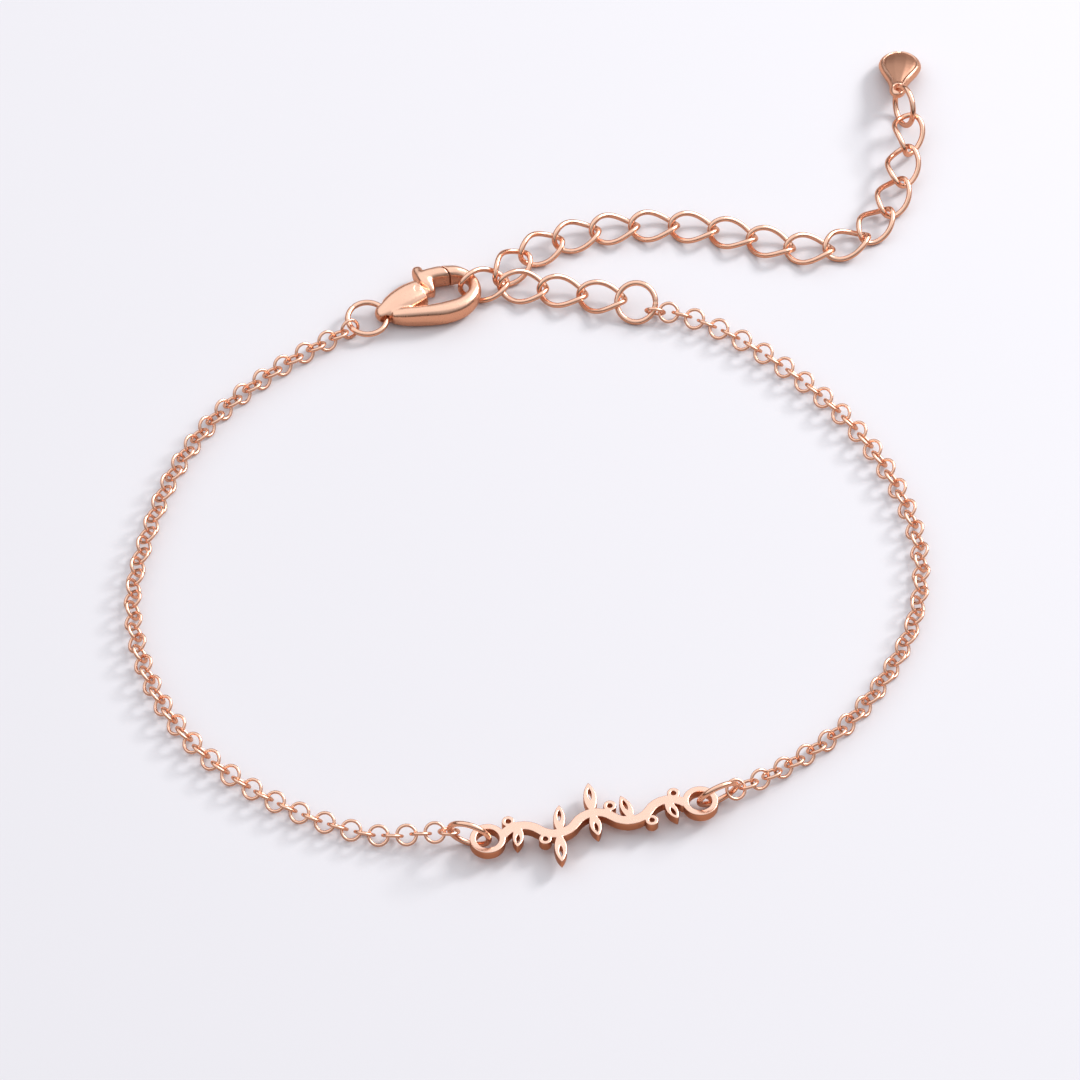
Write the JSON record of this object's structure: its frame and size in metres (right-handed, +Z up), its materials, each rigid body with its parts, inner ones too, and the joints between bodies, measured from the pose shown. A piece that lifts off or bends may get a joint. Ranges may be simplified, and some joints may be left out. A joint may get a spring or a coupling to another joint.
{
  "type": "nameplate bracelet",
  "caption": "Fine rose gold chain bracelet with a pierced plate, closed by a lobster clasp on a curb extender that ends in a flat drop.",
  "frame": {"origin": "middle of the wrist opening on the face that the bracelet lies on", "axes": "+Z up from the floor, +Y from the plate towards the clasp and the extender's free end, +X to the right of the picture"},
  "size_m": [0.0591, 0.0765, 0.0033],
  "materials": {
    "plate": "polished rose gold, bright flat face",
    "rings": "polished rose gold wire",
    "chain": "polished rose gold wire",
    "extender": "polished rose gold wire",
    "drop": "polished rose gold",
    "clasp": "polished rose gold casting",
    "pin": "rose gold, end of a pin"
  },
  "bodies": {
    "bracelet": {"nameplate": "plate", "jump_ring_left": "rings", "jump_ring_right": "rings", "chain_left": "chain", "chain_right": "chain", "extender_ring": "rings", "extender_link_01": "extender", "extender_link_02": "extender", "extender_link_03": "extender", "extender_link_04": "extender", "extender_link_05": "extender", "extender_link_06": "extender", "extender_link_07": "extender", "extender_link_08": "extender", "extender_link_09": "extender", "extender_link_10": "extender", "extender_link_11": "extender", "extender_link_12": "extender", "extender_link_13": "extender", "extender_link_14": "extender", "extender_link_15": "extender", "extender_link_16": "extender", "extender_link_17": "extender", "extender_link_18": "extender", "drop_ring": "rings", "drop": "drop", "clasp_ring": "rings", "clasp_body": "clasp", "clasp_pin": "pin"},
    "lever": {"clasp_lever": "clasp"}
  },
  "joints": [
    {"name": "lever_hinge", "type": "hinge", "parent": "bracelet", "child": "lever", "pos_m": [-0.00805, 0.0249, 0.00095], "axis": [0, 0, -1], "range_deg": [0, 18], "stiffness_Nm_per_rad": 0.0005, "springref_deg": -20.05}
  ]
}
